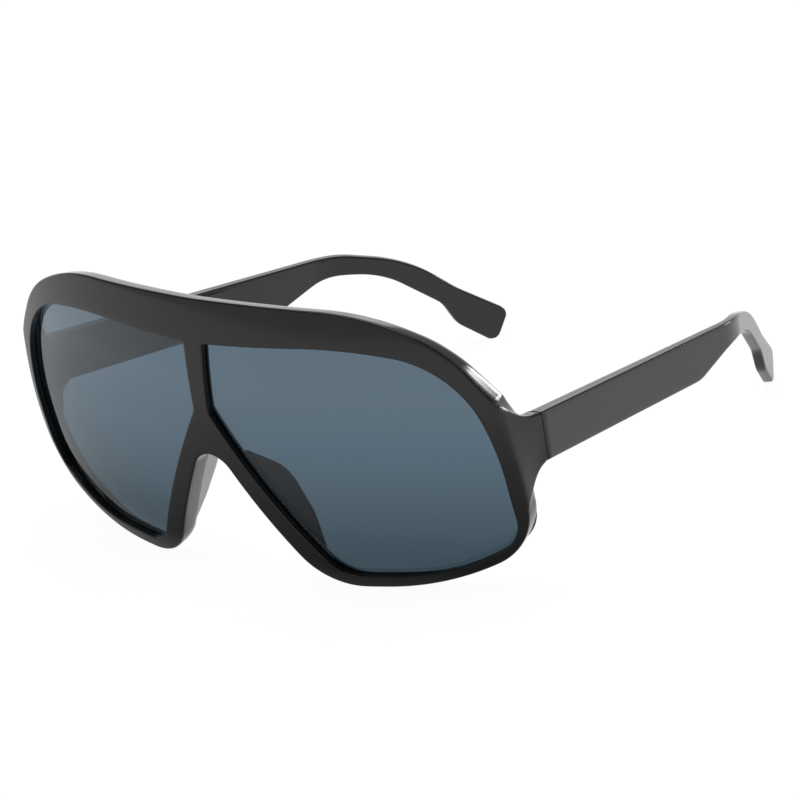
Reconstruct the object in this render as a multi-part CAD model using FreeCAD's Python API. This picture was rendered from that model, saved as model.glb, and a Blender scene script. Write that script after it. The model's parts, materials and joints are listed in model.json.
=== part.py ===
import FreeCAD, Part
import math
import os
from FreeCAD import Vector

# Oversized sunglasses, in millimetres and degrees. They are drawn with the front upright: x to the side,
# y to the back, z up, the middle of the front touching the origin. At the end they are set down on a table.
# Left is the wearer's left, at +x. The left pieces are drawn and the right ones are mirrored from them.

# Front: a shell cut from a ball
FRONT_RADIUS = 134.0        # curve of the front face
LENS_RECESS = 1.5           # lens behind the front face, which leaves it a 132.5 mm or base 4 curve
LENS_THICKNESS = 1.6
LENS_PLAY = 0.1             # between a lens and its groove, all round
GROOVE_DEPTH = 1.0          # of the lens groove, outwards from the opening
BACK_LIP = 2.3              # frame behind the lens groove
SIDE_APEX = 260.0           # the outside walls draw in towards the back, to nothing at this depth
BROW_APEX = 110.0           # faster along the brow
OPENING_APEX = 400.0        # and slower in the lens openings
BACK_EDGE_ROUND = 0.8       # of the front's outside edge at the back

# Front view of the outside, corner by corner from the top of the brow round the left rim to the nose arch.
# IN is measured inwards from the widest place of the rim, OUT outwards from the middle plane.
BROW_TOP = 26.3             # above the origin
RIM_HALF_WIDTH = 70.8
RIM_BOTTOM = 42.4           # below the origin
BROW_BEND_IN = 27.6         # where the brow starts to fall
BROW_BEND_FALL = 1.2
BROW_BEND_ROUND = 54.0
BROW_CORNER_IN = 11.2
BROW_CORNER_FALL = 9.6
BROW_CORNER_ROUND = 28.0
LUG_CORNER_IN = 1.8
LUG_CORNER_UP = 3.1         # above the origin
LUG_CORNER_ROUND = 3.0
SIDE_DOWN = 15.7            # widest place of the rim, below the origin
SIDE_ROUND = 86.0
RIM_CORNER_IN = 1.4
RIM_CORNER_UP = 10.2        # above the rim's bottom
RIM_CORNER_ROUND = 16.0
BOTTOM_IN = 21.8
BOTTOM_UP = 1.0
BOTTOM_ROUND = 80.0
NOSE_CORNER_OUT = 21.5
NOSE_CORNER_ROUND = 17.0
ARCH_CORNER_OUT = 3.6
ARCH_CORNER_FALL = 0.7
ARCH_TOP = 10.3             # top of the nose arch, below the origin
ARCH_ROUND = 6.2

# Front view of the lens opening, the same way round from the bar between the lenses
BAR_WIDTH = 4.0             # at its narrowest
BAR_FLARE = 0.6             # more on each side, at the top of the bar
BAR_FOOT_UP = 0.4           # narrowest place of the bar, above the origin
BAR_CORNER_ROUND = 0.8
BROW_HEIGHT = 9.6           # from the opening up to the top of the brow
SIDE_RIM_WIDTH = 3.3
BOTTOM_RIM_WIDTH = 3.2
NOSE_RIM_WIDTH = 4.1        # sideways, at the nose corner
BAR_TOP_FALL = 0.4
CREST_IN = 33.5
CREST_RISE = 0.9
CREST_ROUND = 112.0
OPENING_BROW_IN = 9.3
OPENING_BROW_FALL = 4.0
OPENING_SIDE_DOWN = 8.2
OPENING_SIDE_ROUND = 62.0
OPENING_CORNER_UP = 9.6
OPENING_CORNER_ROUND = 9.0
OPENING_BOTTOM_IN = 18.0
OPENING_BOTTOM_UP = 0.9
OPENING_BOTTOM_ROUND = 51.0

# Endpiece: the lug on each side that carries the hinge. LENGTH is measured forwards from the joint.
LUG_LENGTH = 10.5           # joint, behind the widest place of the rim
JOINT_OVERHANG = 0.1        # outside of the joint, beyond the widest place of the rim
JOINT_TOP = 2.7             # top of the joint, below the origin
JOINT_HEIGHT = 11.5
JOINT_GAP = 0.15
ENDPIECE_THICKNESS = 3.8
ENDPIECE_FLARE = 7.6        # outward lean of the endpiece's outside, in degrees
ENDPIECE_ROUND = 2.6        # hollow corner where the endpiece leaves the rim
ROOT_LENGTH = 18.7          # how far the lug is buried in the rim
ROOT_RISE = 7.3             # above the joint's top
ROOT_DROP = 10.0            # below the joint's bottom
SHOULDER_LENGTH = 8.0
SHOULDER_RISE = 5.3
SHOULDER_ROUND = 6.0
NECK_LENGTH = 4.0
NECK_RISE = 0.6
NECK_ROUND = 4.0
CHIN_LENGTH = 4.4
CHIN_DROP = 1.6
CHIN_ROOT_LENGTH = 6.2

# Temple: straight to the ear, then bent in and down to a flared tip
TEMPLE_THICKNESS = 3.5      # at the joint
TIP_THICKNESS = 2.5         # from the ear bend to the tip
TEMPLE_SLANT = 6.4          # straight part leans inwards, in degrees
TEMPLE_DROP = 9.3           # straight part falls towards the back, in degrees
EAR_LENGTH = 84.0           # from the joint to the middle of the ear bend
EAR_SLANT = 28.0            # inward lean behind the ear bend, in degrees
EAR_BEND_ROUND = 26.0
TEMPLE_EDGE_ROUND = 1.0

# Side view of the temple. BEHIND is measured from the ear bend, AHEAD from the tip's rear corner.
EAR_TOP_BEHIND = 4.5
EAR_TOP_ROUND = 26.0
HOOK_BEHIND = 19.3
HOOK_FALL = 6.0             # below the top of the ear
HOOK_ROUND = 38.0
NAPE_BEHIND = 29.8
NAPE_FALL = 17.2
NAPE_ROUND = 30.0
TIP_BEHIND = 40.3
TIP_FALL = 26.2
TIP_ROUND = 2.5
TIP_LOW_AHEAD = 3.8
TIP_HEIGHT = 7.6
TIP_LOW_ROUND = 2.0
FLARE_AHEAD = 12.1
FLARE_RISE = 0.4            # above the tip's rear corner
FLARE_ROUND = 7.0
WAIST_AHEAD = 14.8
WAIST_RISE = 6.6
WAIST_ROUND = 8.0
HOLLOW_BEHIND = 12.8
HOLLOW_FALL = 0.5           # below the belly
HOLLOW_ROUND = 24.0
EAR_LOW_BEFORE = 0.2        # in front of the ear bend
EAR_LOW_RISE = 3.2          # above the belly
EAR_LOW_ROUND = 26.0
BELLY_BEFORE = 17.7
BELLY_RISE = 0.9            # above a line parallel to the top
BELLY_ROUND = 9.0

# Hinge: five knuckles on one screw, a leaf on the endpiece and a leaf on the temple
KNUCKLES = 5
HINGE_HEIGHT = 6.0
BARREL_RADIUS = 1.35
AXIS_INSET = 0.7            # hinge axis, inwards from the inside faces at the joint
PIVOT_RADIUS = 0.7
PIVOT_CLEARANCE = 0.04
KNUCKLE_GAP = 0.08
BARREL_CLEARANCE = 0.2
LEAF_THICKNESS = 0.8
FRONT_LEAF_LENGTH = 5.0
TEMPLE_LEAF_LENGTH = 10.5
PIVOT_HEAD_RADIUS = 1.05
PIVOT_HEAD_HEIGHT = 0.5

# Leaf screws, two to a leaf
SCREW_RADIUS = 0.5
SCREW_LENGTH = 2.4
SCREW_HEAD_RADIUS = 0.85
SCREW_HEAD_HEIGHT = 0.4
SCREW_SPACING = 3.4
SCREW_SLOT = 0.25
SEAT_CLEARANCE = 0.05       # screws in their holes, leaves in their pockets

# Nose pads: crescents bonded behind the nose side of each rim. DEPTH is measured back from the rim's back at
# the bridge, LENGTH down the rim from the crescent's start.
PAD_START = 0.5             # from the nose arch's corner, down the rim
PAD_LENGTH = 30.0
PAD_DEPTH = 9.4
PAD_THICKNESS = 1.6
PAD_SPLAY = 12.0            # degrees
PAD_TOP_DEPTH = 2.3
PAD_TOP_ROUND = 3.0
PAD_CREST_LENGTH = 8.4
PAD_CREST_ROUND = 10.0
PAD_FALL_LENGTH = 20.0
PAD_FALL_ROUND = 12.0
PAD_FOOT_DEPTH = 7.0
PAD_FOOT_ROUND = 3.0
PAD_ROUND = 0.6
GLUE_LINE = 0.05

# Cutting tools and tests
CUT_SPARE = 2.0             # how far a cutting tool stands proud of what it cuts
TOUCH = 0.01


def face_depth(x, z):
    """How far the front face has curved back at a place of the front view."""
    return FRONT_RADIUS - math.sqrt(FRONT_RADIUS ** 2 - x ** 2 - z ** 2)


BALL_CENTRE = Vector(0, FRONT_RADIUS, 0)
LENS_RADIUS = FRONT_RADIUS - LENS_RECESS
FRAME_THICKNESS = LENS_RECESS + LENS_THICKNESS + BACK_LIP
BACK_RADIUS = FRONT_RADIUS - FRAME_THICKNESS
JOINT_X = RIM_HALF_WIDTH + JOINT_OVERHANG
JOINT_Y = face_depth(RIM_HALF_WIDTH, 0) + LUG_LENGTH
JOINT_BOTTOM = JOINT_TOP + JOINT_HEIGHT
JOINT_MIDDLE = -(JOINT_TOP + JOINT_HEIGHT / 2)
INSIDE_X = JOINT_X - ENDPIECE_THICKNESS
AXIS = Vector(INSIDE_X - AXIS_INSET, JOINT_Y, JOINT_MIDDLE)
REACH = 3 * FRONT_RADIUS    # longer than anything, for cutting tools


def bend(points, index):
    """Unit directions from a corner to its neighbours, and half of the angle between them."""
    point = points[index]
    before = (points[index - 1] - point).normalize()
    after = (points[(index + 1) % len(points)] - point).normalize()
    return before, after, before.getAngle(after) / 2


def fitted(points, radii):
    """The radii, cut down where two neighbouring arcs would overlap on the run between them."""
    runs = []
    for index, radius in enumerate(radii):
        runs.append(radius / math.tan(bend(points, index)[2]) if radius else 0)
    kept = list(radii)
    for index in range(len(points)):
        other = (index + 1) % len(points)
        room = 0.98 * (points[other] - points[index]).Length
        share = room / max(room, runs[index] + runs[other])
        for corner in (index, other):
            kept[corner] = min(kept[corner], radii[corner] * share)
    return kept


def rounded_edges(corners):
    """A closed run of straight lines and tangent arcs. Each corner is a point and its radius."""
    points = [point for point, radius in corners]
    radii = fitted(points, [radius for point, radius in corners])
    starts, ends, arcs = [], [], []
    for index, (point, radius) in enumerate(zip(points, radii)):
        before, after, half = bend(points, index)
        run = radius / math.tan(half) if radius else 0
        starts.append(point + before * run)
        ends.append(point + after * run)
        middle = (before + after).normalize() if radius else before
        arcs.append(point + middle * (radius / math.sin(half) - radius) if radius else None)
    edges = []
    for index in range(len(points)):
        if arcs[index] is not None:
            edges.append(Part.Arc(starts[index], arcs[index], ends[index]).toShape())
        edges.append(Part.LineSegment(ends[index], starts[(index + 1) % len(points)]).toShape())
    return edges


def prism(corners, direction):
    """A closed rounded outline, extruded."""
    return Part.Face(Part.Wire(rounded_edges(corners))).extrude(direction)


def brow_apex(z):
    return BROW_APEX if z > 0 else SIDE_APEX


def at_depth(point, y, apex_x, apex_z):
    """A point of the flat drawing at y = 0, carried along its wall to another depth."""
    return Vector(point.x * (1 - y / apex_x), y, point.z * (1 - y / apex_z))


def drawn(x, z, apex_x, apex_z):
    """The point of the flat drawing whose wall passes through a point of the front face."""
    depth = face_depth(x, z)
    return Vector(x / (1 - depth / apex_x), 0, z / (1 - depth / apex_z))


def walls(wire_at):
    """The solid inside walls whose outline at each depth is given by a function."""
    near, far = -0.1 * FRONT_RADIUS, 0.4 * FRONT_RADIUS
    return Part.makeLoft([wire_at(near), wire_at(far)], True, True)


def ball_shell(outer, inner):
    return Part.makeSphere(outer, BALL_CENTRE).cut(Part.makeSphere(inner, BALL_CENTRE))


def outside_wire(y):
    widest = RIM_HALF_WIDTH
    half = [
        (widest - BROW_BEND_IN, BROW_TOP - BROW_BEND_FALL, BROW_BEND_ROUND),
        (widest - BROW_CORNER_IN, BROW_TOP - BROW_CORNER_FALL, BROW_CORNER_ROUND),
        (widest - LUG_CORNER_IN, LUG_CORNER_UP, LUG_CORNER_ROUND),
        (widest, -SIDE_DOWN, SIDE_ROUND),
        (widest - RIM_CORNER_IN, RIM_CORNER_UP - RIM_BOTTOM, RIM_CORNER_ROUND),
        (widest - BOTTOM_IN, BOTTOM_UP - RIM_BOTTOM, BOTTOM_ROUND),
        (NOSE_CORNER_OUT, -RIM_BOTTOM, NOSE_CORNER_ROUND),
        (ARCH_CORNER_OUT, -ARCH_TOP - ARCH_CORNER_FALL, ARCH_ROUND),
    ]
    right = [(-x, z, radius) for x, z, radius in reversed(half)]
    corners = [(0, BROW_TOP, 0)] + half + [(0, -ARCH_TOP, 0)] + right
    flat = [drawn(x, z, SIDE_APEX, brow_apex(z)) for x, z, radius in corners]
    points = [at_depth(point, y, SIDE_APEX, brow_apex(point.z)) for point in flat]
    radii = [radius * (1 - y / SIDE_APEX) for x, z, radius in corners]
    return Part.Wire(rounded_edges(list(zip(points, radii))))


def opening_wire(y, grow=0.0):
    top = BROW_TOP - BROW_HEIGHT
    side = RIM_HALF_WIDTH - SIDE_RIM_WIDTH
    bottom = BOTTOM_RIM_WIDTH - RIM_BOTTOM
    corners = [
        (BAR_WIDTH / 2 + BAR_FLARE, top - BAR_TOP_FALL, BAR_CORNER_ROUND),
        (RIM_HALF_WIDTH - CREST_IN, top + CREST_RISE, CREST_ROUND),
        (RIM_HALF_WIDTH - OPENING_BROW_IN, top - OPENING_BROW_FALL, BROW_CORNER_ROUND),
        (side, -OPENING_SIDE_DOWN, OPENING_SIDE_ROUND),
        (side, bottom + OPENING_CORNER_UP, OPENING_CORNER_ROUND),
        (RIM_HALF_WIDTH - OPENING_BOTTOM_IN, bottom + OPENING_BOTTOM_UP, OPENING_BOTTOM_ROUND),
        (NOSE_CORNER_OUT + NOSE_RIM_WIDTH, bottom, OPENING_CORNER_ROUND),
        (BAR_WIDTH / 2, BAR_FOOT_UP, BAR_CORNER_ROUND),
    ]
    points = [drawn(x, z, OPENING_APEX, OPENING_APEX) for x, z, radius in corners]
    radii = fitted(points, [radius for x, z, radius in corners])
    if grow:
        points, radii = grown(points, radii, grow)
    points = [at_depth(point, y, OPENING_APEX, OPENING_APEX) for point in points]
    radii = [radius * (1 - y / OPENING_APEX) for radius in radii]
    return Part.Wire(rounded_edges(list(zip(points, radii))))


def grown(points, radii, grow):
    """The same outline, moved outwards by an even margin."""
    count = len(points)
    moved, rounder = [], []
    for index, point in enumerate(points):
        before = (point - points[index - 1]).normalize()
        after = (points[(index + 1) % count] - point).normalize()
        out_before = Vector(-before.z, 0, before.x)
        out_after = Vector(-after.z, 0, after.x)
        out = (out_before + out_after).normalize()
        moved.append(point + out * (grow / out.dot(out_after)))
        turns_out = before.cross(after).y > 0
        rounder.append(radii[index] + (grow if turns_out else -min(grow, radii[index] / 2)))
    return moved, rounder


def mirrored(shape):
    return shape.mirror(Vector(0, 0, 0), Vector(1, 0, 0))


def both(shape):
    return [shape, mirrored(shape)]


def endpiece():
    """The lug's side view, cut to its thickness. The rest of it is buried in the front."""
    root = JOINT_Y - ROOT_LENGTH
    side = [
        (Vector(0, root, ROOT_RISE - JOINT_TOP), 0),
        (Vector(0, JOINT_Y - SHOULDER_LENGTH, SHOULDER_RISE - JOINT_TOP), SHOULDER_ROUND),
        (Vector(0, JOINT_Y - NECK_LENGTH, NECK_RISE - JOINT_TOP), NECK_ROUND),
        (Vector(0, JOINT_Y, -JOINT_TOP), 0),
        (Vector(0, JOINT_Y, -JOINT_BOTTOM), 0),
        (Vector(0, JOINT_Y - CHIN_LENGTH, -JOINT_BOTTOM - CHIN_DROP), ENDPIECE_ROUND),
        (Vector(0, JOINT_Y - CHIN_ROOT_LENGTH, -JOINT_BOTTOM - ROOT_DROP), 0),
        (Vector(0, root, -JOINT_BOTTOM - ROOT_DROP), 0),
    ]
    slab = prism(side, Vector(REACH, 0, 0))
    lean = math.tan(math.radians(ENDPIECE_FLARE)) * ROOT_LENGTH
    plan = [
        (Vector(INSIDE_X, root, 0), 0),
        (Vector(JOINT_X - lean, root, 0), 0),
        (Vector(JOINT_X, JOINT_Y, 0), 0),
        (Vector(INSIDE_X, JOINT_Y, 0), 0),
    ]
    strip = prism(plan, Vector(0, 0, REACH)).translated(Vector(0, 0, -REACH / 2))
    return slab.common(strip).common(Part.makeSphere(FRONT_RADIUS, BALL_CENTRE))


def barrel(bottom, top, radius):
    return Part.makeCylinder(radius, top - bottom, Vector(AXIS.x, AXIS.y, bottom), Vector(0, 0, 1))


HINGE_BOTTOM = AXIS.z - HINGE_HEIGHT / 2
HINGE_TOP = AXIS.z + HINGE_HEIGHT / 2
KNUCKLE_PITCH = HINGE_HEIGHT / KNUCKLES


def knuckle_slot(index):
    low = HINGE_BOTTOM + index * KNUCKLE_PITCH
    return low, low + KNUCKLE_PITCH


def leaf(length, mine, turn):
    """A hinge leaf along -y or +y from the axis, with its own knuckles and room for the others."""
    low_y = AXIS.y if turn > 0 else AXIS.y - length
    plate = Part.makeBox(LEAF_THICKNESS, length, HINGE_HEIGHT, Vector(INSIDE_X, low_y, HINGE_BOTTOM))
    solid = plate
    for index in range(KNUCKLES):
        low, high = knuckle_slot(index)
        if index in mine:
            bottom = low + (KNUCKLE_GAP / 2 if index > 0 else 0)
            top = high - (KNUCKLE_GAP / 2 if index < KNUCKLES - 1 else 0)
            solid = solid.fuse(barrel(bottom, top, BARREL_RADIUS))
    for index in range(KNUCKLES):
        low, high = knuckle_slot(index)
        if index not in mine:
            solid = solid.cut(barrel(low - KNUCKLE_GAP / 2, high + KNUCKLE_GAP / 2,
                                     BARREL_RADIUS + BARREL_CLEARANCE))
    bore = barrel(HINGE_BOTTOM - CUT_SPARE, HINGE_TOP + CUT_SPARE, PIVOT_RADIUS + PIVOT_CLEARANCE)
    solid = solid.cut(bore)
    for place in screw_places(length, turn):
        solid = solid.cut(screw_hole(place))
    return solid.removeSplitter()


def screw_places(length, turn):
    """Where a leaf's two screws enter it: one over the other on the short leaf, in line on the long one."""
    y = AXIS.y + turn * (length + BARREL_RADIUS) / 2
    if turn < 0:
        return [Vector(INSIDE_X, y, AXIS.z + side * SCREW_SPACING / 2) for side in (-1, 1)]
    return [Vector(INSIDE_X, y + side * SCREW_SPACING / 2, AXIS.z) for side in (-1, 1)]


def screw(place, spare=0.0):
    """A slotted cheese-head screw pointing outwards. With spare, the hole that it goes into."""
    out = Vector(1, 0, 0)
    head = Part.makeCylinder(SCREW_HEAD_RADIUS + spare, SCREW_HEAD_HEIGHT, place, out)
    shank = Part.makeCylinder(SCREW_RADIUS + spare, SCREW_LENGTH + spare, place, out)
    return head.fuse(shank)


def screw_hole(place):
    return screw(place, SEAT_CLEARANCE)


def slotted_screw(place):
    slot = Part.makeBox(SCREW_HEAD_HEIGHT, 3 * SCREW_HEAD_RADIUS, SCREW_SLOT)
    slot.translate(place - Vector(SCREW_HEAD_HEIGHT / 2, 1.5 * SCREW_HEAD_RADIUS, SCREW_SLOT / 2))
    return screw(place).cut(slot)


def pivot_screw():
    head_low = HINGE_TOP - PIVOT_HEAD_HEIGHT
    shank = barrel(HINGE_BOTTOM, HINGE_TOP, PIVOT_RADIUS)
    head = barrel(head_low, HINGE_TOP, PIVOT_HEAD_RADIUS)
    slot = Part.makeBox(4 * PIVOT_HEAD_RADIUS, SCREW_SLOT, PIVOT_HEAD_HEIGHT)
    slot.translate(Vector(AXIS.x - 2 * PIVOT_HEAD_RADIUS, AXIS.y - SCREW_SLOT / 2,
                          HINGE_TOP - PIVOT_HEAD_HEIGHT / 2))
    return shank.fuse(head).cut(slot).removeSplitter()


def with_temple(shape):
    """Turns a piece drawn along y about the hinge axis, to lie along the temple's inside face."""
    return shape.rotated(AXIS, Vector(0, 0, 1), TEMPLE_SLANT)


def leaf_pocket(length, turn):
    gap = SEAT_CLEARANCE
    low_y = AXIS.y - gap if turn > 0 else AXIS.y - length - gap
    box = Part.makeBox(LEAF_THICKNESS + gap + CUT_SPARE, length + 2 * gap, HINGE_HEIGHT + 2 * gap,
                       Vector(INSIDE_X - CUT_SPARE, low_y, HINGE_BOTTOM - gap))
    room = barrel(HINGE_BOTTOM - BARREL_CLEARANCE, HINGE_TOP + BARREL_CLEARANCE,
                  BARREL_RADIUS + BARREL_CLEARANCE)
    return box.fuse(room)


def on_ball(edge, radius):
    middle = edge.valueAt((edge.FirstParameter + edge.LastParameter) / 2)
    return abs((middle - BALL_CENTRE).Length - radius) < TOUCH


def front_frame():
    solid = walls(outside_wire).common(ball_shell(FRONT_RADIUS, BACK_RADIUS))
    back_edges = [edge for edge in solid.Edges if on_ball(edge, BACK_RADIUS)]
    solid = solid.makeFillet(BACK_EDGE_ROUND, back_edges)
    for lug in both(endpiece()):
        solid = solid.fuse(lug)
    groove = walls(lambda y: opening_wire(y, GROOVE_DEPTH)).common(
        ball_shell(LENS_RADIUS + LENS_PLAY, LENS_RADIUS - LENS_THICKNESS - LENS_PLAY))
    cuts = [walls(opening_wire), groove, leaf_pocket(FRONT_LEAF_LENGTH, -1)]
    cuts += [screw_hole(place) for place in screw_places(FRONT_LEAF_LENGTH, -1)]
    for tool in cuts:
        for side in both(tool):
            solid = solid.cut(side)
    return solid.removeSplitter()


def lens():
    outline = walls(lambda y: opening_wire(y, GROOVE_DEPTH - LENS_PLAY))
    return outline.common(ball_shell(LENS_RADIUS, LENS_RADIUS - LENS_THICKNESS))


def long_edges(solid, front):
    """The edges that run along a temple's two faces, without its joint end and the seams between faces."""
    found = []
    for edge in solid.Edges:
        box = edge.BoundBox
        crosses = max(box.YLength, box.ZLength) < TOUCH
        upright = max(box.XLength, box.YLength) < TOUCH
        at_joint = box.YMax < front + TOUCH
        if not (crosses or upright or at_joint):
            found.append(edge)
    return found


def temple():
    front = JOINT_Y + JOINT_GAP
    ear = JOINT_Y + EAR_LENGTH
    tip = ear + TIP_BEHIND
    fall = math.tan(math.radians(TEMPLE_DROP))
    ear_top = -JOINT_TOP - fall * (ear + EAR_TOP_BEHIND - front)
    tip_top = ear_top - TIP_FALL
    belly = -JOINT_BOTTOM - fall * (ear - BELLY_BEFORE - front) + BELLY_RISE
    side = [
        (Vector(0, front, -JOINT_TOP), 0),
        (Vector(0, ear + EAR_TOP_BEHIND, ear_top), EAR_TOP_ROUND),
        (Vector(0, ear + HOOK_BEHIND, ear_top - HOOK_FALL), HOOK_ROUND),
        (Vector(0, ear + NAPE_BEHIND, ear_top - NAPE_FALL), NAPE_ROUND),
        (Vector(0, tip, tip_top), TIP_ROUND),
        (Vector(0, tip - TIP_LOW_AHEAD, tip_top - TIP_HEIGHT), TIP_LOW_ROUND),
        (Vector(0, tip - FLARE_AHEAD, tip_top + FLARE_RISE), FLARE_ROUND),
        (Vector(0, tip - WAIST_AHEAD, tip_top + WAIST_RISE), WAIST_ROUND),
        (Vector(0, ear + HOLLOW_BEHIND, belly - HOLLOW_FALL), HOLLOW_ROUND),
        (Vector(0, ear - EAR_LOW_BEFORE, belly + EAR_LOW_RISE), EAR_LOW_ROUND),
        (Vector(0, ear - BELLY_BEFORE, belly), BELLY_ROUND),
        (Vector(0, front, -JOINT_BOTTOM), 0),
    ]
    slab = prism(side, Vector(REACH, 0, 0))
    slant = math.tan(math.radians(TEMPLE_SLANT))
    ear_x = JOINT_X - slant * (ear - front)
    end_y = tip + CUT_SPARE
    end_x = ear_x - math.tan(math.radians(EAR_SLANT)) * (end_y - ear)
    straight = Vector(math.cos(math.radians(TEMPLE_SLANT)), math.sin(math.radians(TEMPLE_SLANT)), 0)
    bent = Vector(math.cos(math.radians(EAR_SLANT)), math.sin(math.radians(EAR_SLANT)), 0)
    bisector = (straight + bent).normalize()
    outer = [Vector(JOINT_X, front, 0), Vector(ear_x, ear, 0), Vector(end_x, end_y, 0)]
    inner = [
        outer[0] - Vector(TEMPLE_THICKNESS / straight.x, 0, 0),
        outer[1] - bisector * (TIP_THICKNESS / bisector.dot(straight)),
        outer[2] - bent * TIP_THICKNESS,
    ]
    plan = [
        (outer[0], 0),
        (outer[1], EAR_BEND_ROUND),
        (outer[2], 0),
        (inner[2], 0),
        (inner[1], EAR_BEND_ROUND - TIP_THICKNESS),
        (inner[0], 0),
    ]
    strip = prism(plan, Vector(0, 0, REACH)).translated(Vector(0, 0, -REACH / 2))
    solid = slab.common(strip)
    edge_round = min(TEMPLE_EDGE_ROUND, 0.45 * min(TEMPLE_THICKNESS, TIP_THICKNESS))
    solid = solid.makeFillet(edge_round, long_edges(solid, front))
    cuts = [leaf_pocket(TEMPLE_LEAF_LENGTH, 1)]
    cuts += [screw_hole(place) for place in screw_places(TEMPLE_LEAF_LENGTH, 1)]
    for tool in cuts:
        solid = solid.cut(with_temple(tool))
    return solid.removeSplitter()


def nose_pad():
    """A crescent slab that splays outwards behind the nose side of the rim, fitted to the rim's back."""
    top = Vector(ARCH_CORNER_OUT, 0, -ARCH_TOP - ARCH_CORNER_FALL)
    foot = Vector(NOSE_CORNER_OUT, 0, -RIM_BOTTOM)
    down = (foot - top).normalize()
    outwards = Vector(-down.z, 0, down.x)
    splay = math.radians(PAD_SPLAY)
    back = Vector(0, 1, 0) * math.cos(splay) + outwards * math.sin(splay)
    across = outwards * math.cos(splay) - Vector(0, 1, 0) * math.sin(splay)
    start = top + down * PAD_START
    seat = Vector(start.x, FRAME_THICKNESS, start.z)
    crescent = [
        (seat - back * PAD_DEPTH, 0),
        (seat + back * PAD_TOP_DEPTH, PAD_TOP_ROUND),
        (seat + down * PAD_CREST_LENGTH + back * PAD_DEPTH, PAD_CREST_ROUND),
        (seat + down * PAD_FALL_LENGTH + back * PAD_DEPTH, PAD_FALL_ROUND),
        (seat + down * PAD_LENGTH + back * PAD_FOOT_DEPTH, PAD_FOOT_ROUND),
        (seat + down * PAD_LENGTH - back * PAD_DEPTH, 0),
    ]
    slab = prism(crescent, across * PAD_THICKNESS)
    rims = [edge for edge in slab.Edges if abs(edge.tangentAt(edge.FirstParameter).dot(across)) < 0.5]
    slab = slab.makeFillet(PAD_ROUND, rims)
    return slab.common(Part.makeSphere(BACK_RADIUS - GLUE_LINE, BALL_CENTRE))


def left_pieces():
    """Each piece of the left side by name."""
    front_screws = Part.makeCompound([slotted_screw(p) for p in screw_places(FRONT_LEAF_LENGTH, -1)])
    temple_screws = Part.makeCompound([slotted_screw(p) for p in screw_places(TEMPLE_LEAF_LENGTH, 1)])
    head_seat = barrel(HINGE_TOP - PIVOT_HEAD_HEIGHT - SEAT_CLEARANCE, HINGE_TOP + CUT_SPARE,
                       PIVOT_HEAD_RADIUS + SEAT_CLEARANCE)
    return {
        "lens": lens(),
        "nose_pad": nose_pad(),
        "temple": temple(),
        "hinge_front_leaf": leaf(FRONT_LEAF_LENGTH, range(0, KNUCKLES, 2), -1).cut(head_seat),
        "hinge_temple_leaf": with_temple(leaf(TEMPLE_LEAF_LENGTH, range(1, KNUCKLES, 2), 1)),
        "hinge_screw": pivot_screw(),
        "front_leaf_screws": front_screws,
        "temple_leaf_screws": with_temple(temple_screws),
    }


def seated(pieces):
    """Tips everything forward until the rims and the temple tips stand on the table, then centres it."""
    def tipped(shape, angle):
        return shape.rotated(Vector(0, 0, 0), Vector(1, 0, 0), angle)

    def lowest(name, angle):
        return tipped(pieces[name], angle).optimalBoundingBox(False, False).ZMin

    low, high = -20.0, 20.0
    for step in range(24):
        angle = (low + high) / 2
        if lowest("front_frame", angle) < lowest("temple_left", angle):
            high = angle
        else:
            low = angle
    whole = Part.makeCompound([tipped(shape, angle) for shape in pieces.values()])
    box = whole.optimalBoundingBox(False, False)
    shift = Vector(0, -box.Center.y, -box.ZMin)
    hinge = tipped(Part.Vertex(AXIS), angle).Point + shift
    print("tip angle", round(angle, 4), "shift", [round(v, 4) for v in shift])
    print("left hinge axis through", [round(v, 4) for v in hinge])
    return {name: tipped(shape, angle).translated(shift) for name, shape in pieces.items()}


pieces = {"front_frame": front_frame()}
for name, shape in left_pieces().items():
    pieces[name + "_left"] = shape
    pieces[name + "_right"] = mirrored(shape)

os.makedirs("parts", exist_ok=True)
for name, shape in seated(pieces).items():
    box = shape.optimalBoundingBox(False, False)
    print(name, len(shape.Solids), "solid", shape.isValid(), round(shape.Volume, 1),
          [round(v, 2) for v in (box.XMin, box.YMin, box.ZMin, box.XMax, box.YMax, box.ZMax)])
    shape.exportStep("parts/" + name + ".step")
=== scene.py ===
# %% [markdown]
# # Oversized sunglasses
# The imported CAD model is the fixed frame: its bodies give the joints and its box gives the size. The
# visible mouldings are drawn again here as clean quad meshes, from the same few named sizes, because a
# polished black surface shows every facet of a tessellated solid. The hinges stay as CAD nodes. Sizes are
# in millimetres, drawn with the front upright: x to the wearer's left, y to the back, z up.

# %% Load the frame
import json
import math

import bmesh
import bpy
import numpy as np
from mathutils import Matrix, Vector


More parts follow.
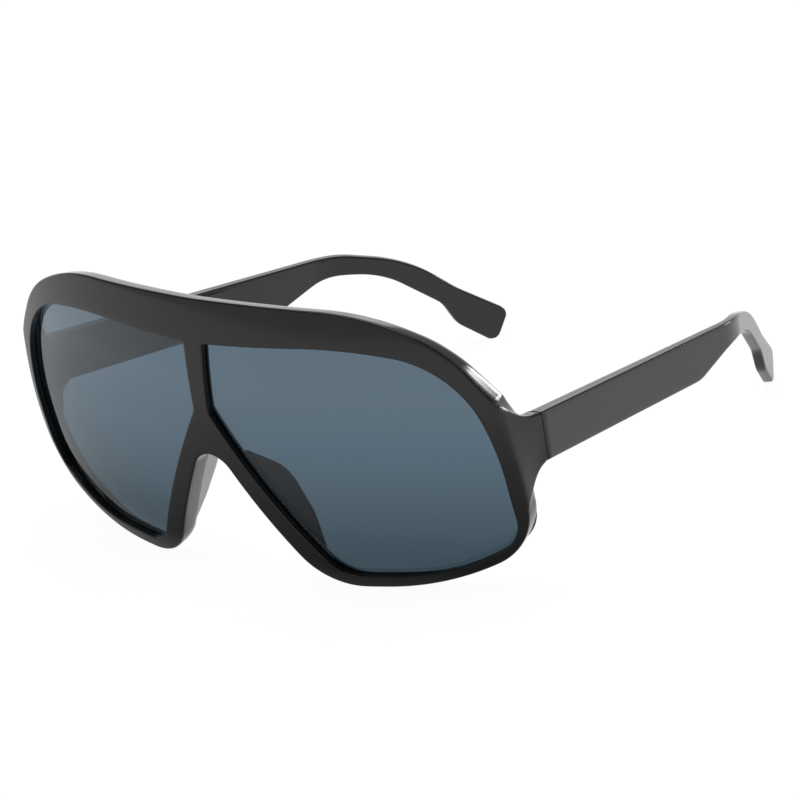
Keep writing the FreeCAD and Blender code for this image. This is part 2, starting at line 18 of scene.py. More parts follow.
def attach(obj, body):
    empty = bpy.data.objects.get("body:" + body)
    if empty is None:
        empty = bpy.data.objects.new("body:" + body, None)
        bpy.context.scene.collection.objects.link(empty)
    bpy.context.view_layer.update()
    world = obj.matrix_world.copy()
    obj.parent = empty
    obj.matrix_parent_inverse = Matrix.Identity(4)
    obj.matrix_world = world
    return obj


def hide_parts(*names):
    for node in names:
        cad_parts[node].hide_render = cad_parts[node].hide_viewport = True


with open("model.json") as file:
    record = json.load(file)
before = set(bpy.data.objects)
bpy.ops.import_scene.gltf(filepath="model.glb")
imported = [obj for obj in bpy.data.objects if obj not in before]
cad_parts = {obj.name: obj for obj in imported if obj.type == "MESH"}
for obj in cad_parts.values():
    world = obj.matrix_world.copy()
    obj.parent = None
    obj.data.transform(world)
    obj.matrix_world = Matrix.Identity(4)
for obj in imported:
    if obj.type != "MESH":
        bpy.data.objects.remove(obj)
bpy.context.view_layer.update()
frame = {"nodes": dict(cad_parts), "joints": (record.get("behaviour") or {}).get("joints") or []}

# %% [markdown]
# ## From the upright drawing to the table
# The glasses stand on their rims and temple tips, tipped a little forward. The left hinge is known in
# both frames, so its axis gives the tilt and its place gives the shift. Everything below is drawn upright
# and goes through `placed`, which also turns millimetres into metres.

# %% Placing
BALL = 134.0               # radius of the front face
RIM_HALF = 70.8            # half of the front's width
LUG_PROUD = 0.1            # the joint of lug and temple stands out past the rim by this
JOINT_BACK = 10.5          # and lies behind the face by this
JOINT_X = RIM_HALF + LUG_PROUD
JOINT_Y = BALL - math.sqrt(BALL ** 2 - RIM_HALF ** 2) + JOINT_BACK
JOINT_TOP, JOINT_LOW = -2.7, -14.2
HINGE_X = 66.4
HINGE_UPRIGHT = np.array([HINGE_X, JOINT_Y, (JOINT_TOP + JOINT_LOW) / 2])

fold = [joint for joint in frame["joints"] if joint["name"] == "temple_fold_left"][0]
TILT = math.atan2(-fold["axis"][1], fold["axis"][2])
TURN = np.array(Matrix.Rotation(TILT, 3, "X"))
SHIFT = 1000 * np.array(fold["pos_m"]) - TURN @ HINGE_UPRIGHT


def placed(points):
    return (np.asarray(points) @ TURN.T + SHIFT) / 1000


print("tilt", round(math.degrees(TILT), 3), "degrees, shift", SHIFT.round(3))

# %% [markdown]
# ## From points to pieces
# Every moulding below is a list of points and a list of quads. `piece` makes a smooth mesh of them, and
# says which body it rides on and which CAD node it stands for. Lenses, temples and pads come in pairs, so
# `pair` makes the left one and its mirror image. `tube` gives the quads of a row of rings with a cap at
# each end.

# %% Pieces
SEAM = 0.00001             # points closer than this, in metres, are one
CRISP = math.radians(50)   # edges bent more sharply than this stay crisp


def piece(name, points, faces, body, *nodes):
    """A smooth mesh from upright millimetres, riding on a body in place of CAD nodes."""
    mesh = bpy.data.meshes.new(name)
    mesh.from_pydata([tuple(point) for point in placed(points)], [], [tuple(face) for face in faces])
    work = bmesh.new()
    work.from_mesh(mesh)
    bmesh.ops.remove_doubles(work, verts=work.verts, dist=SEAM)
    bmesh.ops.recalc_face_normals(work, faces=work.faces)
    work.to_mesh(mesh)
    work.free()
    mesh.shade_smooth()
    mesh.set_sharp_from_angle(angle=CRISP)
    shape = bpy.data.objects.new(name, mesh)
    bpy.context.scene.collection.objects.link(shape)
    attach(shape, body)
    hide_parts(*nodes)
    print(name, len(mesh.vertices), "points", len(mesh.polygons), "faces")
    return shape


def pair(name, points, faces, body, node_name):
    """A left piece and its mirror image. {side} in the body's name stands for left or right."""
    made = []
    for side, sign in (("left", 1), ("right", -1)):
        turned = faces if sign > 0 else [tuple(reversed(face)) for face in faces]
        cloud = points * np.array([sign, 1, 1])
        shape = piece(f"{name}_{side}", cloud, turned, body.format(side=side), f"{node_name}_{side}")
        made.append(shape)
    return made


def tube(count, size, clockwise=True):
    """Quads between rings of points that follow one another, and a cap at each end."""
    quads = []
    for near in range(0, (count - 1) * size, size):
        far = near + size
        for i in range(size):
            j = (i + 1) % size
            quad = (far + i, far + j, near + j)
            quads.append((near + i, *(quad if clockwise else reversed(quad))))
    caps = [tuple(range(size)), tuple(reversed(range((count - 1) * size, count * size)))]
    return quads + [cap if clockwise else tuple(reversed(cap)) for cap in caps]


# %% [markdown]
# ## Outlines from a few corners
# Each outline is a short list of corners with radii, as a mould maker would dimension it. `rounded` joins
# them with arcs and also says where the middle of each arc is. Those middles are stations: two outlines
# with matching stations can be bridged by even quads.

# %% Outline helpers
FINE = 0.15       # spacing of the points along an arc
ARC_ROOM = 0.98   # share of a straight run that the arcs at its two ends may take up


def bend(points, index):
    """Unit directions from a corner to its neighbours, and half of the angle between them."""
    before = points[index - 1] - points[index]
    after = points[(index + 1) % len(points)] - points[index]
    before = before / np.linalg.norm(before)
    after = after / np.linalg.norm(after)
    return before, after, math.acos(np.clip(before @ after, -1, 1)) / 2


def fitted(points, radii):
    """The radii, cut down where two neighbouring arcs would overlap on the run between them."""
    runs = []
    for index, radius in enumerate(radii):
        runs.append(radius / math.tan(bend(points, index)[2]) if radius else 0)
    kept = list(radii)
    for index in range(len(points)):
        following = (index + 1) % len(points)
        room = ARC_ROOM * np.linalg.norm(points[following] - points[index])
        share = room / max(room, runs[index] + runs[following])
        for corner in (index, following):
            kept[corner] = min(kept[corner], radii[corner] * share)
    return kept


def rounded(corners):
    """Points along straight runs and tangent arcs, and the index of each corner's middle."""
    points = [np.array(corner[:2], float) for corner in corners]
    radii = fitted(points, [corner[2] for corner in corners])
    line, middles = [], []
    for index, (point, radius) in enumerate(zip(points, radii)):
        if radius == 0:
            middles.append(len(line))
            line.append(point)
            continue
        before, after, half = bend(points, index)
        middle = (before + after) / np.linalg.norm(before + after)
        centre = point + middle * radius / math.sin(half)
        sweep = math.pi - 2 * half
        steps = 2 * max(2, math.ceil(radius * sweep / FINE / 2))
        start = point + before * radius / math.tan(half) - centre
        end = point + after * radius / math.tan(half) - centre
        middles.append(len(line) + steps // 2)
        for turn in np.linspace(0, sweep, steps + 1):
            line.append(centre + (math.sin(sweep - turn) * start + math.sin(turn) * end) / math.sin(sweep))
    return np.array(line), middles


def even(line, count):
    """The same line with evenly spaced points, both ends kept."""
    run = np.r_[0, np.cumsum(np.linalg.norm(np.diff(line, axis=0), axis=1))]
    places = np.linspace(0, run[-1], count + 1)
    return np.array([np.interp(places, run, line[:, axis]) for axis in range(line.shape[1])]).T


def bridged(line, middles, counts):
    """Even points between stations all round, without repeating a station."""
    looped = np.vstack([line, line])
    runs = []
    for index, count in enumerate(counts):
        start = middles[index]
        end = middles[(index + 1) % len(middles)]
        if end <= start:
            end += len(line)
        runs.append(even(looped[start:end + 1], count)[:-1])
    return np.vstack(runs)


def outward(loop):
    """Unit normals along a clockwise run of points, pointing to its left."""
    tangent = np.gradient(loop, axis=0)
    tangent /= np.linalg.norm(tangent, axis=1)[:, None]
    return np.stack([-tangent[:, 1], tangent[:, 0]], axis=1)


def ramp(value, start, end):
    """0 at start, 1 at end, straight between them and level beyond."""
    return np.clip((value - start) / (end - start), 0, 1)


# %% [markdown]
# ## The front: a shell cut from a ball
# The front is injection moulded, 5.4 mm thick, with a ball-shaped face. Its walls draw in towards the
# back, as a mould that opens forwards needs: a little in the lens openings, more at the sides and most
# along the brow. A boolean cut would leave long thin faces, so each point of the shell is worked out
# instead, as a point of a flat outline plus a depth under the face.

# %% Front sizes
BALL_CENTRE = np.array([0, BALL, 0])
SIDE_APEX = 260.0     # depth at which the outside walls would have drawn in to nothing
BROW_APEX = 110.0     # faster along the brow
OPENING_APEX = 400.0  # slower in the openings
SHELL = 5.4           # thickness
BROW_TOP = 26.3
RIM_LOW = -42.4
ARCH = -10.3          # top of the nose arch
LEG_TOP, LEG_FOOT = (3.6, ARCH - 0.7), (21.5, RIM_LOW)   # outside corners of the nose leg, as (x, z)

# Corners of half of the front, as (x, z, radius): the outside from the brow's middle to the nose arch
outside_corners = [
    (0, BROW_TOP, 0), (43.2, BROW_TOP - 1.2, 54), (59.6, BROW_TOP - 9.6, 28), (RIM_HALF - 1.8, 3.1, 3),
    (RIM_HALF, -15.7, 86), (RIM_HALF - 1.4, RIM_LOW + 10.2, 16), (49, RIM_LOW + 1, 80),
    (*LEG_FOOT, 17), (*LEG_TOP, 6.2), (0, ARCH, 0),
]
# The opening, from its upper corner at the bar and back to the bar
opening_corners = [
    (2.6, 16.3, 0.8), (37.3, 17.6, 112), (61.5, 12.7, 28), (67.5, -8.2, 62), (67.5, -29.6, 9),
    (52.8, -38.3, 51), (25.6, -39.2, 9), (2.0, 0.4, 0.8),
]


def brow_apex(z):
    return np.where(z > 0, BROW_APEX, SIDE_APEX)


def flat(x, z, apex_x, apex_z):
    """The point of the flat drawing at y = 0 whose wall passes through a point of the front face."""
    depth = BALL - math.sqrt(BALL ** 2 - x ** 2 - z ** 2)
    return x / (1 - depth / apex_x), z / (1 - depth / apex_z)


def carried(points, depth, apex_x, apex_z):
    """Flat points, carried along their walls to a depth under the face."""
    x, z = points.T
    a = 1 + (x / apex_x) ** 2 + (z / apex_z) ** 2
    b = BALL + x ** 2 / apex_x + z ** 2 / apex_z
    c = x ** 2 + z ** 2 + BALL ** 2 - (BALL - depth) ** 2
    y = (b - np.sqrt(b ** 2 - a * c)) / a
    return np.stack([x * (1 - y / apex_x), y, z * (1 - y / apex_z)], axis=1)


def on_wall(points, depth):
    return carried(points, depth, SIDE_APEX, brow_apex(points[:, 1]))


def in_opening(points, depth):
    return carried(points, depth, OPENING_APEX, OPENING_APEX)


def on_ball(points, depth):
    """Points moved towards or away from the ball's centre, to a depth under the face."""
    ray = points - BALL_CENTRE
    return BALL_CENTRE + ray / np.linalg.norm(ray, axis=-1, keepdims=True) * (BALL - depth)


print("front", 2 * RIM_HALF, "mm wide,", BROW_TOP - RIM_LOW, "mm high")

# %% [markdown]
# The outside and the opening get the same number of points between matching stations, so that quads
# across the rim stay square to it all the way round.

# %% Front outlines, matched station by station
STATIONS = (0, 1, 2, 4, 5, 6, 7, 9)   # outside corners that face a corner of the opening
RUNS = [44, 22, 36, 22, 24, 28, 44]   # quads between stations, from the brow's middle to the nose arch
BAR_RUN = 18                          # quads down the bar between the lenses

outside = [flat(x, z, SIDE_APEX, float(brow_apex(z))) + (radius,) for x, z, radius in outside_corners]
line, middles = rounded(outside)
stops = [middles[station] for station in STATIONS]
rim_runs = [even(line[a:b + 1], count)[:-1] for a, b, count in zip(stops, stops[1:], RUNS)]
rim = np.vstack(rim_runs + [line[-1:]])
rim_out = outward(rim)
rim_out[0] = (0, 1)
rim_out[-1] = (0, -1)

opening = [flat(x, z, OPENING_APEX, OPENING_APEX) + (radius,) for x, z, radius in opening_corners]
hole = bridged(*rounded(opening), RUNS + [BAR_RUN])
hole_out = outward(np.vstack([hole[-1:], hole, hole[:1]]))[1:-1]
OUTLINE = len(rim)
AROUND = len(hole)
print("rim", OUTLINE, "points, opening", AROUND, "points")

# %% [markdown]
# ## Soft edges
# Tumbling rounds the edges of a moulding unevenly. The front edge is crisp, and softer where the lug
# leaves the rim. The back edge is softer along the brow and softest at the foot of the nose legs. Each
# rounding is therefore a number for every column of points, faded from one place to the next.

# %% Edge sizes
OPENING_EDGE = 0.35          # rounding of the lens opening
FRONT_EDGE = 0.5             # of the outside edge at the front
LUG_EDGE = 0.9               # and where the lug leaves it
BACK_EDGE = (0.8, 0.8)       # at the back: how far in and how far forwards
BROW_BACK_EDGE = (1.6, 2.4)
FOOT_BACK_EDGE = (1.2, 4.0)
LUG_FIRST, LUG_LAST = 4.2, -22.5     # heights between which the lug leaves the rim
LUG_TOP_FADE = (LUG_FIRST + 3, LUG_FIRST - 2)   # heights over which its softer edge begins
LUG_LOW_FADE = (LUG_LAST - 4, LUG_LAST + 2)     # and ends
BROW_SOFT = (8, 16)                  # heights over which the brow's softer edge begins
SIDE_SHARE = 0.7                     # columns beyond this share of the outline are at the nose
FOOT_FADE = 14                       # columns over which the foot's softer edge fades
FOOT_LEVEL = 2                       # columns after the foot that keep it

height = on_wall(rim, 0)[:, 2]
column = np.arange(OUTLINE)
near_lug = ramp(height, *LUG_TOP_FADE) * ramp(height, *LUG_LOW_FADE)
near_lug[column > OUTLINE * SIDE_SHARE] = 0
front_edge = FRONT_EDGE + (LUG_EDGE - FRONT_EDGE) * near_lug ** 2 * (3 - 2 * near_lug)

foot = OUTLINE - 1 - RUNS[-1]        # column at the foot of the nose leg
on_brow = ramp(height, *BROW_SOFT)
at_foot = ramp(column, foot - FOOT_FADE, foot)
at_foot = at_foot * ramp(column, foot + FOOT_LEVEL + FOOT_FADE, foot + FOOT_LEVEL)
back_in, back_run = [edge + (brow - edge) * on_brow + (leg - edge) * at_foot
                     for edge, brow, leg in zip(BACK_EDGE, BROW_BACK_EDGE, FOOT_BACK_EDGE)]
print("front edge", front_edge.min(), "to", front_edge.max(), "mm")
print("back edge", back_run.min(), "to", back_run.max(), "mm")

# %% [markdown]
# ## Rows across the rim
# Going across the rim from the lens groove, over the face, round the outside wall and along the back,
# each step is a row of points that runs all the way round the opening. Along the bar between the lenses
# the row stops at the middle plane, where the mirrored half meets it.

# %% Front rows
GROOVE = (1.4, 3.2)   # lens groove, from the face
GROOVE_DEPTH = 1.0
LIP = (0.3, 3.5)      # thin lip behind the lens: outwards from the opening, and its depth
BEVEL = 1.8           # the rim is bevelled behind it, as far outwards as this
FACE_ROWS = 7
BACK_ROWS = 4
WALL_PARTS = (0.33, 0.67)
QUARTER = np.linspace(0, math.pi / 2, 6)   # steps of a rounded edge


def outside_row(inset, depth):
    """A row along the outside wall."""
    inset = np.broadcast_to(inset, OUTLINE)
    return on_wall(rim - rim_out * inset[:, None], depth)


def closed_row(row, depth):
    """The row, carried along the middle plane from its end to its start."""
    bar = np.linspace(row[-1], row[0], BAR_RUN + 1)[1:-1]
    return np.vstack([row, on_ball(bar, depth)])


def opening_row(inset, depth):
    return in_opening(hole + hole_out * inset, depth)


def between(row_a, row_b, depth, count):
    return [on_ball(row_a + (row_b - row_a) * part, depth) for part in np.linspace(0, 1, count + 1)]


face_start = opening_row(OPENING_EDGE, 0)
face_end = closed_row(outside_row(front_edge, 0), 0)
back_start = closed_row(outside_row(back_in, SHELL), SHELL)
back_end = opening_row(BEVEL, SHELL)

inner_rows = [opening_row(GROOVE_DEPTH, GROOVE[0]), opening_row(0, GROOVE[0])]
for turn in QUARTER:
    inner_rows.append(opening_row(OPENING_EDGE * (1 - math.cos(turn)), OPENING_EDGE * (1 - math.sin(turn))))
inner_rows += between(face_start, face_end, 0, FACE_ROWS)[1:]

wall_rows = []
for turn in QUARTER:
    wall_rows.append(outside_row(front_edge * (1 - math.sin(turn)), front_edge * (1 - math.cos(turn))))
for part in WALL_PARTS:
    wall_rows.append(outside_row(0, front_edge + (SHELL - back_run - front_edge) * part))
for turn in QUARTER:
    wall_rows.append(outside_row(back_in * (1 - math.cos(turn)), SHELL - back_run * (1 - math.sin(turn))))

back_rows = between(back_start, back_end, SHELL, BACK_ROWS)
back_rows += [opening_row(*LIP), opening_row(LIP[0], GROOVE[1])]
back_rows += [opening_row(GROOVE_DEPTH, depth) for depth in reversed(GROOVE)]
print("rows: opening and face", len(inner_rows), "wall", len(wall_rows), "back", len(back_rows))

# %% [markdown]
# ## The lugs
# At each side the face rolls over into a lug that carries the hinge. It is the same moulding, so a patch
# of the wall is left out and a tube of quads grows from that hole to the joint with the temple. Every
# point of the hole follows its own bent line: from the rim, round the crease, past the neck of the lug to
# its end. Joining two closed solids would leave a hard seam, and the real lug has none.

# %% Lug ends
LUG_THICK = 3.8
LUG_ROUND = 0.7      # of the lug's long edges
JOINT_EDGE = 0.15    # tiny rounding at the joint
CORNER_STEPS = 4     # quads round one of the lug's long edges

first = int(np.argmax(height < LUG_FIRST))
last = int(np.argmax(height < LUG_LAST))
side_count = last - first
wall = np.array(wall_rows)


def lug_ring(shrink, y):
    """A rounded rectangle across the lug: outer side down, across, inner side up, across."""
    corner = LUG_ROUND
    out_x, in_x = JOINT_X - shrink, JOINT_X - LUG_THICK + shrink
    top, low = JOINT_TOP - shrink, JOINT_LOW + shrink
    flat_steps = len(wall_rows) - 1 - 2 * CORNER_STEPS
    turns = np.linspace(0, math.pi / 2, CORNER_STEPS + 1)[1:]
    outer = [(out_x, z) for z in np.linspace(top - corner, low + corner, side_count + 1)]
    under = [(out_x - corner + corner * math.cos(t), low + corner - corner * math.sin(t)) for t in turns]
    under += [(x, low) for x in np.linspace(out_x - corner, in_x + corner, flat_steps + 1)[1:]]
    under += [(in_x + corner - corner * math.sin(t), low + corner - corner * math.cos(t)) for t in turns]
    rest = [(out_x + in_x - x, top + low - z) for x, z in outer[1:] + under]
    return np.insert(np.array((outer + under + rest)[:-1]), 1, y, axis=1)


lug_start = [wall[0, i] for i in range(first, last + 1)]
lug_start += [wall[r, last] for r in range(1, len(wall))]
lug_start += [wall[-1, i] for i in range(last - 1, first - 1, -1)]
lug_start += [wall[r, first] for r in range(len(wall) - 2, 0, -1)]
lug_start = np.array(lug_start)
lug_end = lug_ring(0, JOINT_Y - JOINT_EDGE)
lug_cap = lug_ring(JOINT_EDGE, JOINT_Y)
LUG_RING = len(lug_start)
print("lug ring", LUG_RING, "points, columns", first, "to", last)

# %% [markdown]
# The neck is a ring between the two ends, a little narrower outside because the lug flares towards the
# joint. The crease is the ring where face and lug would meet if the edge were sharp. The lines round both
# of them.

# %% Lug lines
NECK_Y, NECK_TOP, NECK_LOW = JOINT_Y - 4.3, -2.3, -15.6
NECK_SWEEP = 1.1                 # the neck runs back this much towards its lower end
NECK_FLARE = math.radians(7.6)
CREASE = 2.2                     # how far past the crease its rounding ends
CREASE_MOST = 0.5                # but no further than this share of the way to the neck
NECK_ROUND = (0.4, 0.6)          # shares of the runs before and after the neck that its rounding takes up
CREASE_SHARE = 0.3               # away from the face, the crease lies this far along to the neck
CREASE_FADE = 2.5                # how fast it gets there, across the wall
CREASE_STEPS, NECK_STEPS = 7, 5  # quads round each of the two

down_share = (lug_end[:, 2] - JOINT_TOP) / (JOINT_LOW - JOINT_TOP)
out_share = (lug_end[:, 0] - (JOINT_X - LUG_THICK)) / LUG_THICK
neck_x = lug_end[:, 0] - math.tan(NECK_FLARE) * (JOINT_Y - NECK_Y) * out_share
neck_y = NECK_Y + NECK_SWEEP * down_share
neck_z = NECK_TOP + (NECK_LOW - NECK_TOP) * down_share
neck = np.stack([neck_x, neck_y, neck_z], axis=1)

sharp = outside_row(0, 0)
crease = lug_start + CREASE_SHARE * (neck - lug_start)
crease[:side_count + 1] = sharp[first:last + 1]
wall_steps = len(wall) - 1
for step in range(1, wall_steps):
    fade = max(0, 1 - CREASE_FADE * step / wall_steps)
    for spot, edge_column in ((side_count + step, last), (LUG_RING - step, first)):
        crease[spot] += (sharp[edge_column] - crease[spot]) * fade


def arc(a, b, c, t):
    return (1 - t) ** 2 * a + 2 * t * (1 - t) * b + t ** 2 * c


reach = np.linalg.norm(neck - crease, axis=1, keepdims=True)
after_crease = crease + (neck - crease) * np.minimum(CREASE_MOST, CREASE / reach)
before_neck = neck + (crease - neck) * NECK_ROUND[0]
after_neck = neck + (lug_end - neck) * NECK_ROUND[1]
lug_rows = [arc(lug_start, crease, after_crease, t) for t in np.linspace(0, 1, CREASE_STEPS + 1)[1:]]
lug_rows += [(after_crease + before_neck) / 2]
lug_rows += [arc(before_neck, neck, after_neck, t) for t in np.linspace(0, 1, NECK_STEPS + 1)]
lug_rows += [(after_neck + lug_end) / 2, lug_end, lug_cap]
print("lug", len(lug_rows), "rows, neck from z", neck_z.min().round(2), "to", neck_z.max().round(2))

# %% [markdown]
# The rows become one list of points. Strips of quads join neighbouring rows, the lug grows from the hole
# in the wall, and the mirrored half is welded on along the middle plane.

# %% Front mesh
points, faces = [], []


def add_rows(rows):
    """Adds rows of points, and gives back each row's indices."""
    added = []
    for row in rows:
        added.append(list(range(len(points), len(points) + len(row))))
        points.extend(row)
    return added


def strip(row_a, row_b, closed):
    count = len(row_a)
    for i in range(count if closed else count - 1):
        j = (i + 1) % count
        faces.append((row_a[i], row_b[i], row_b[j], row_a[j]))


inner = add_rows(inner_rows)
back = add_rows(back_rows)
walls = [inner[-1][:OUTLINE]] + add_rows(wall_rows[1:-1]) + [back[0][:OUTLINE]]
for row_a, row_b in list(zip(inner, inner[1:])) + list(zip(back, back[1:])):
    strip(row_a, row_b, True)
for row_a, row_b in zip(walls, walls[1:]):
    strip(row_a[:first + 1], row_b[:first + 1], False)
    strip(row_a[last:], row_b[last:], False)

edge_of_hole = walls[0][first:last + 1] + [row[last] for row in walls[1:]]
edge_of_hole += walls[-1][first:last][::-1] + [row[first] for row in walls[-2:0:-1]]
lug_rings = [edge_of_hole] + add_rows(lug_rows)
for ring_a, ring_b in zip(lug_rings, lug_rings[1:]):
    strip(ring_a, ring_b, True)
faces.append(tuple(lug_rings[-1]))

left_half = np.array(points)
right_half = left_half * np.array([-1, 1, 1])
right_faces = [tuple(i + len(left_half) for i in reversed(face)) for face in faces]
both_halves = np.vstack([left_half, right_half])
front = piece("front_moulding", both_halves, faces + right_faces, "front_body", "front_frame")

# %% [markdown]
# ## Lenses
# Each lens is a cap of polycarbonate, 1.6 mm thick, whose edge sits in the groove. A ball cut by the
# outline would end in slivers at the edge, so rings of quads shrink from the outline towards the middle
# instead, once for the outer face and once for the inner one. The first two rings lie close together, to
# keep the edge crisp.

# %% Lenses
LENS_DEPTH = (1.5, 3.1)    # outer and inner face, under the front face
LENS_EDGE = 0.9            # the lens reaches this far into the groove
LENS_RINGS = 14
LENS_SECOND, LENS_LAST = 0.994, 0.03   # size of the second and of the last ring

edge_line = hole + hole_out * LENS_EDGE
heart = edge_line.mean(0)
shrink = np.r_[1, np.linspace(LENS_SECOND, LENS_LAST, LENS_RINGS - 1)]
lens_faces = []
for depth in LENS_DEPTH:
    lens_faces.append([in_opening(heart + (edge_line - heart) * part, depth) for part in shrink])
lens_rings = lens_faces[0][::-1] + lens_faces[1]
lens_quads = tube(len(lens_rings), AROUND)
lenses = pair("lens_dome", np.vstack(lens_rings), lens_quads, "front_body", "lens")

# %% [markdown]
# ## Temples
# A temple is a flat moulded bar. Its side view has a straight part, a neck at the ear and a flared tip,
# and its plan bends inwards behind the ear. It could be a bevelled curve, but its height changes all
# along, so rings of a rounded rectangle run from the joint to the tip, between the upper and the lower
# edge of the side view, and a plan curve sets how far out each ring stands.

# %% Temple curves
JOINT_GAP = 0.15
TEMPLE_FRONT = JOINT_Y + JOINT_GAP
TEMPLE_THICK, TIP_THICK = 3.5, 2.5
EAR_Y = JOINT_Y + 84.0
TIP_Y = EAR_Y + 40.3
FALL = math.tan(math.radians(9.3))        # the temple falls towards the ear
EAR_BACK, BELLY_FRONT = 4.5, 17.7         # the top bends behind the ear, the belly lies in front of it
BELLY_LIFT = 0.9
TIP_FALL = 26.2                           # from the ear's top to the tip's
TIP_BACK, TIP_DROP = 3.8, 7.5             # the tip's flat end runs forwards and down by these
TEMPLE_RUNS = [46, 26, 36, 14]            # rings between stations

ear_top = JOINT_TOP - FALL * (EAR_Y + EAR_BACK - TEMPLE_FRONT)
belly = JOINT_LOW - FALL * (EAR_Y - BELLY_FRONT - TEMPLE_FRONT) + BELLY_LIFT
tip_top = ear_top - TIP_FALL
tip_end = np.array([TIP_Y - TIP_BACK / 2, tip_top - TIP_DROP / 2])   # middle of the flat end

upper_corners = [
    (TEMPLE_FRONT, JOINT_TOP, 0), (EAR_Y + EAR_BACK, ear_top, 26), (EAR_Y + 19.3, ear_top - 6, 38),
    (EAR_Y + 29.8, ear_top - 17.2, 30), (TIP_Y, tip_top, 2.5), (*tip_end, 0),
]
lower_corners = [
    (TEMPLE_FRONT, JOINT_LOW, 0), (EAR_Y - BELLY_FRONT, belly, 9), (EAR_Y - 0.2, belly + 3.2, 26),
    (EAR_Y + 12.8, belly - 0.5, 24), (TIP_Y - 14.8, tip_top + 6.6, 8), (TIP_Y - 12.1, tip_top + 0.4, 7),
    (TIP_Y - TIP_BACK, tip_top - TIP_DROP, 2), (*tip_end, 0),
]


def stationed(corners, station_a, station_b, tip_corner):
    """Even points from the joint past two stations to the tip, leaving out its flat end."""
    line, middles = rounded(corners)
    arc_end = len(line) - 2
    arc_start = 2 * middles[tip_corner] - arc_end
    stops = [0, middles[station_a], middles[station_b], arc_start, arc_end]
    runs = [even(line[a:b + 1], count) for a, b, count in zip(stops, stops[1:], TEMPLE_RUNS)]
    return np.vstack([runs[0]] + [run[1:] for run in runs[1:]])


upper = stationed(upper_corners, 1, 2, 4)
lower = stationed(lower_corners, 2, 3, 6)
print("temple rings", len(upper), "from y", upper[0, 0].round(2), "to", upper[-1, 0].round(2))

# %% [markdown]
# Seen from above, the outside of a temple slants inwards a little as far as the ear, and more behind it.
# The bar gets thinner on the way.

# %% Temple plan
SLANT, EAR_SLANT = math.radians(6.4), math.radians(28.0)   # inwards, before and behind the ear
EAR_ROUND = 26.0
PLAN_END = 170.0        # past the tip
PLAN_STEPS = 600

ear_x = JOINT_X - math.tan(SLANT) * (EAR_Y - TEMPLE_FRONT)
plan_end_x = ear_x - math.tan(EAR_SLANT) * (PLAN_END - EAR_Y)
plan, _ = rounded([(TEMPLE_FRONT, JOINT_X, 0), (EAR_Y, ear_x, EAR_ROUND), (PLAN_END, plan_end_x, 0)])
plan = even(plan, PLAN_STEPS)
plan_slope = np.gradient(plan[:, 1], plan[:, 0])


def across(y):
    """Outside x, thickness and the plan's slope at a depth y."""
    thick = np.interp(y, [TEMPLE_FRONT, EAR_Y], [TEMPLE_THICK, TIP_THICK])
    return np.interp(y, plan[:, 0], plan[:, 1]), thick, np.interp(y, plan[:, 0], plan_slope)


print("outside of the temple at the ear: x", round(ear_x, 2))

# %% [markdown]
# A ring of the temple is a rounded rectangle. Close to the flat end of the tip the rings get thinner,
# which rounds that edge too.

# %% Temple mesh
EDGE = 0.6                               # rounding of the long edges
FLAT_STEPS = np.linspace(-1, 1, 9)
FLATTEST = 0.95                          # most of a thin ring's half thickness that a corner may take

tip_line = np.array(upper_corners[-2][:2]) - tip_end
tip_line /= np.linalg.norm(tip_line)
tip_normal = np.array([tip_line[1], -tip_line[0]])


def section(height_half, thick_half, corner):
    """Rounded rectangle of (up, out) offsets, starting at the top of the outside."""
    up, out = height_half - corner, thick_half - corner
    outside_run = [(up * -step, thick_half) for step in FLAT_STEPS]
    low_out = [(-up - corner * math.sin(t), out + corner * math.cos(t)) for t in QUARTER[1:]]
    low_in = [(-up - corner * math.cos(t), -out - corner * math.sin(t)) for t in QUARTER]
    one_way = outside_run + low_out + low_in
    other_way = [(-u, -o) for u, o in one_way[1:]]
    return np.array((one_way + other_way)[:-1])


def temple_ring(top, low, shrink=0.0):
    """A section between the upper and lower edge, thinner within an edge's rounding of the tip's end."""
    centre = (top + low) / 2
    tall = np.linalg.norm(top - low)
    up = (top - low) / tall
    away = abs((centre - tip_end) @ tip_normal)
    rounding = EDGE - math.sqrt(max(0, EDGE ** 2 - max(0, EDGE - away) ** 2))
    thick = across(centre[0])[1] / 2 - shrink - rounding
    made = []
    for rise, out in section(tall / 2 - shrink, thick, min(EDGE, thick * FLATTEST)):
        y, z = centre + up * rise
        outside_x, thick_here, slope = across(y)
        normal = np.array([1, -slope]) / math.hypot(1, slope)
        step = out - thick_here / 2
        made.append((outside_x + normal[0] * step, y + normal[1] * step, z))
    return made


front_step = np.array([JOINT_EDGE, 0])
temple_rings = [temple_ring(upper[0], lower[0], JOINT_EDGE)]
temple_rings += [temple_ring(upper[0] + front_step, lower[0] + front_step)]
temple_rings += [temple_ring(top, low) for top, low in zip(upper[1:], lower[1:])]
temple_points = np.vstack(temple_rings)
temple_quads = tube(len(temple_rings), len(temple_rings[0]), clockwise=False)
temples = pair("temple_bar", temple_points, temple_quads, "temple_body_{side}", "temple")

# %% [markdown]
# ## Nose pads
# Behind the nose side of each rim stands a crescent pad that splays outwards. Its outline could be cut
# from a sheet, but the free edge that touches the nose is fully rounded. So its sections are thin tongues
# that reach back from inside the rim to the edge of the crescent, each with a round end.

